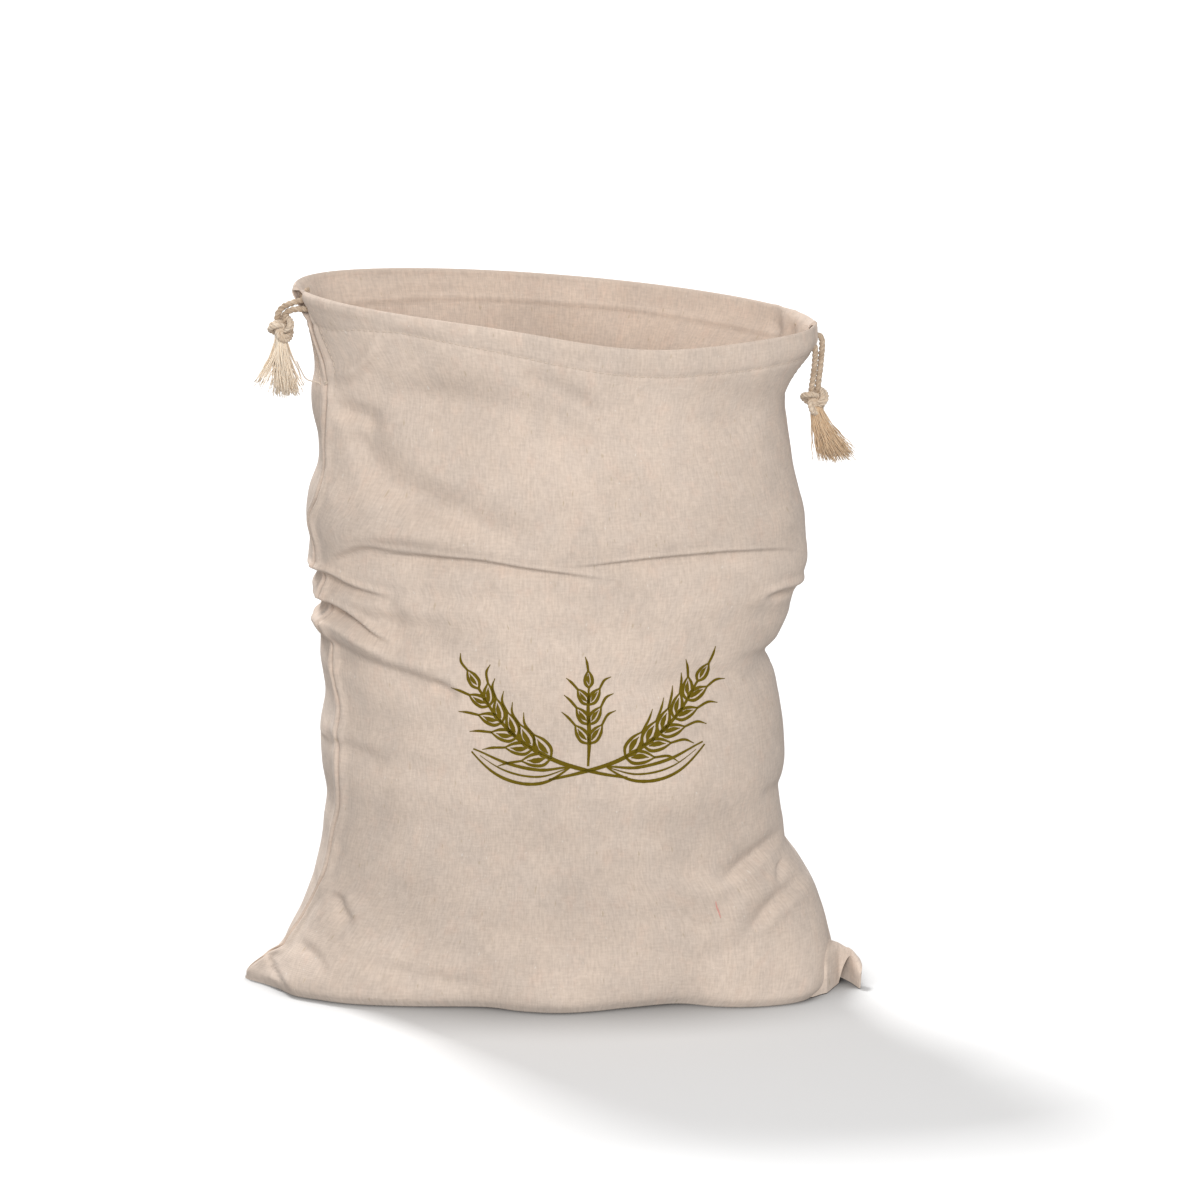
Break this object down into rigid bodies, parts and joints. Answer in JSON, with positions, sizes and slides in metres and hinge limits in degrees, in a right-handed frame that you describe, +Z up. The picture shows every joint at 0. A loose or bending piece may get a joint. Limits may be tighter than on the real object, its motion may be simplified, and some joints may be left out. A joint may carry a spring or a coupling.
{
  "type": "drawstring bread bag",
  "caption": "Open linen drawstring bag standing on its folded bottom, with a hemmed mouth slit at the sides, knotted cord ends and frayed tassels.",
  "frame": {"origin": "middle of the flat underside, on the surface the bag stands on", "axes": "+X to the right along the folded bottom edge, -Y out of the printed front panel, +Z up through the mouth"},
  "size_m": [0.3032, 0.1521, 0.3506],
  "materials": {
    "linen": "natural slub weave, matte",
    "cord": "laid cotton cord, matte",
    "frayed_ends": "loose cotton fibre, matte"
  },
  "bodies": {
    "root": {"bag_body": "linen", "cord_left_front": "cord", "cord_left_back": "cord", "cord_right_front": "cord", "cord_right_back": "cord", "knot_left": "cord", "knot_right": "cord", "tassel_left": "frayed_ends", "tassel_right": "frayed_ends"}
  },
  "joints": []
}
